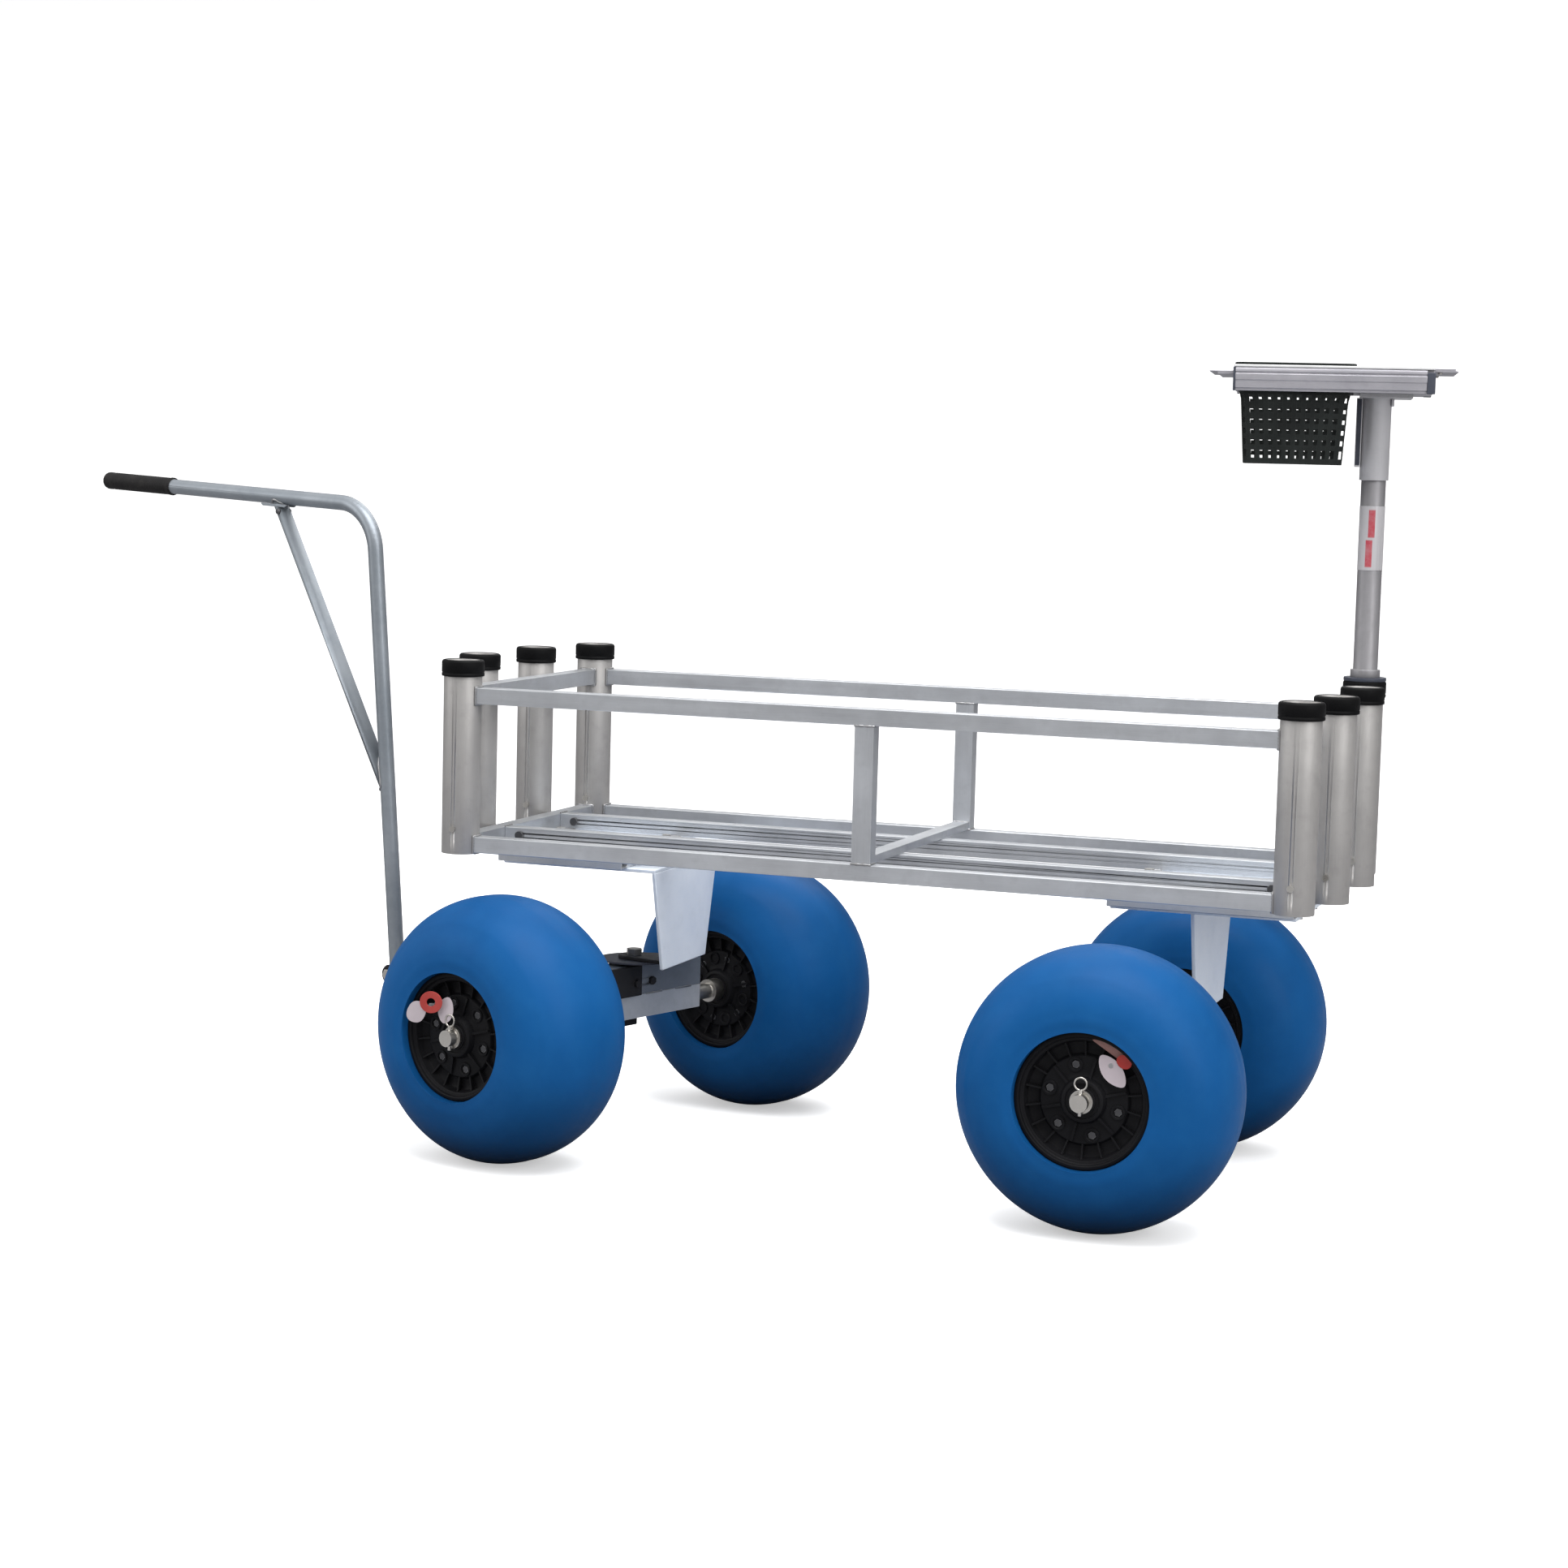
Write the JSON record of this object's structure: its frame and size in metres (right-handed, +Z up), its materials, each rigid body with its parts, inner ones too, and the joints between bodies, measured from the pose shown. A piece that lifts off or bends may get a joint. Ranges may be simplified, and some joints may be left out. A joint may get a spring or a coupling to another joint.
{
  "type": "beach fishing cart",
  "caption": "Open-frame beach cart with rod holders at both ends, steerable front axle with pull handle, balloon wheels, and a bait board with lift-out basket on a post.",
  "frame": {"origin": "on the ground under the kingpin, which in the modelled stance is also the middle of the whole bounding box from grip end to rear board tab", "axes": "+X towards the rear of the cart, -X towards the pull handle, +Y towards the bait-board side, +Z up"},
  "size_m": [2.5184, 0.9082, 1.272],
  "materials": {
    "tyre": "semi-gloss blue polyurethane balloon tyre",
    "hub": "black moulded plastic",
    "hub_bolt": "blackened steel",
    "valve": "pale plastic valve and plain tag",
    "frame_aluminium": "clear anodised aluminium",
    "steel_fastener": "zinc plated steel",
    "dark_fastener": "blackened steel",
    "cap_rubber": "black rubber",
    "axle_channel": "dark grey painted steel",
    "black_steel": "black powder coat",
    "washer_plastic": "black nylon",
    "handle_aluminium": "cool grey aluminium",
    "grip_rubber": "black rubber grip",
    "collar_plastic": "dark grey nylon",
    "label": "plain red and white band",
    "cutting_board": "off-white polyethylene",
    "basket_plastic": "black plastic grid"
  },
  "bodies": {
    "frame": {"side_rails": "frame_aluminium", "end_rails": "frame_aluminium", "deck_slats": "frame_aluminium", "slat_bolts": "dark_fastener", "mid_posts": "frame_aluminium", "mid_bar": "frame_aluminium", "holders_front": "frame_aluminium", "holders_rear": "frame_aluminium", "caps_front": "cap_rubber", "caps_rear": "cap_rubber", "stop_pins": "steel_fastener", "subframe_front": "frame_aluminium", "subframe_rear": "frame_aluminium", "pedestal_front": "frame_aluminium", "pedestal_rear": "frame_aluminium", "pedestal_bolts": "steel_fastener", "rear_channel": "axle_channel", "rear_beam": "frame_aluminium", "rear_plugs": "frame_aluminium", "rear_axle": "steel_fastener", "rear_bolts": "steel_fastener", "kingpin": "steel_fastener", "thrust_washer": "washer_plastic"},
    "front_truck": {"turn_plate": "black_steel", "front_channel": "axle_channel", "front_beam": "frame_aluminium", "front_plugs": "frame_aluminium", "front_axle": "steel_fastener", "clamp_plates": "black_steel", "drawbar": "black_steel", "pivot_bolt": "steel_fastener"},
    "handle": {"handle_tube": "handle_aluminium", "handle_brace": "handle_aluminium", "handle_grip": "grip_rubber"},
    "wheel_fn": {"tyre_fn": "tyre", "hub_out_fn": "hub", "hub_in_fn": "hub", "hub_bolts_fn": "hub_bolt", "valve_fn": "valve"},
    "wheel_ff": {"tyre_ff": "tyre", "hub_out_ff": "hub", "hub_in_ff": "hub", "hub_bolts_ff": "hub_bolt"},
    "wheel_rn": {"tyre_rn": "tyre", "hub_out_rn": "hub", "hub_in_rn": "hub", "hub_bolts_rn": "hub_bolt", "valve_rn": "valve"},
    "wheel_rf": {"tyre_rf": "tyre", "hub_out_rf": "hub", "hub_in_rf": "hub", "hub_bolts_rf": "hub_bolt"},
    "post": {"post_collar": "collar_plastic", "board_post": "frame_aluminium", "post_label": "label"},
    "board": {"board_socket": "frame_aluminium", "board_frame": "frame_aluminium", "cutting_board": "cutting_board"},
    "basket": {"basket": "basket_plastic"}
  },
  "joints": [
    {"name": "steering", "type": "hinge", "parent": "frame", "child": "front_truck", "pos_m": [0, 0, 0.283], "axis": [0, 0, 1], "range_deg": [-27, 63]},
    {"name": "handle_tilt", "type": "hinge", "parent": "front_truck", "child": "handle", "pos_m": [-0.51602, 0.16766, 0.195], "axis": [-0.309, -0.9511, 0], "range_deg": [-12, 45]},
    {"name": "spin_front_near", "type": "hinge", "parent": "front_truck", "child": "wheel_fn", "pos_m": [-0.09842, -0.30291, 0.21], "axis": [0.309, 0.9511, 0], "continuous": true},
    {"name": "spin_front_far", "type": "hinge", "parent": "front_truck", "child": "wheel_ff", "pos_m": [0.09842, 0.30291, 0.21], "axis": [0.309, 0.9511, 0], "continuous": true},
    {"name": "spin_rear_near", "type": "hinge", "parent": "frame", "child": "wheel_rn", "pos_m": [0.866, -0.3185, 0.21], "axis": [0, 1, 0], "continuous": true},
    {"name": "spin_rear_far", "type": "hinge", "parent": "frame", "child": "wheel_rf", "pos_m": [0.866, 0.3185, 0.21], "axis": [0, 1, 0], "continuous": true},
    {"name": "post_lift", "type": "slide", "parent": "frame", "child": "post", "axis": [0, 0, 1], "range_m": [0, 0.26]},
    {"name": "board_swivel", "type": "hinge", "parent": "post", "child": "board", "pos_m": [1.1245, 0.261, 1.15], "axis": [0, 0, 1], "range_deg": [-180, 180]},
    {"name": "basket_lift", "type": "slide", "parent": "board", "child": "basket", "axis": [0, 0, 1], "range_m": [0, 0.16]}
  ]
}
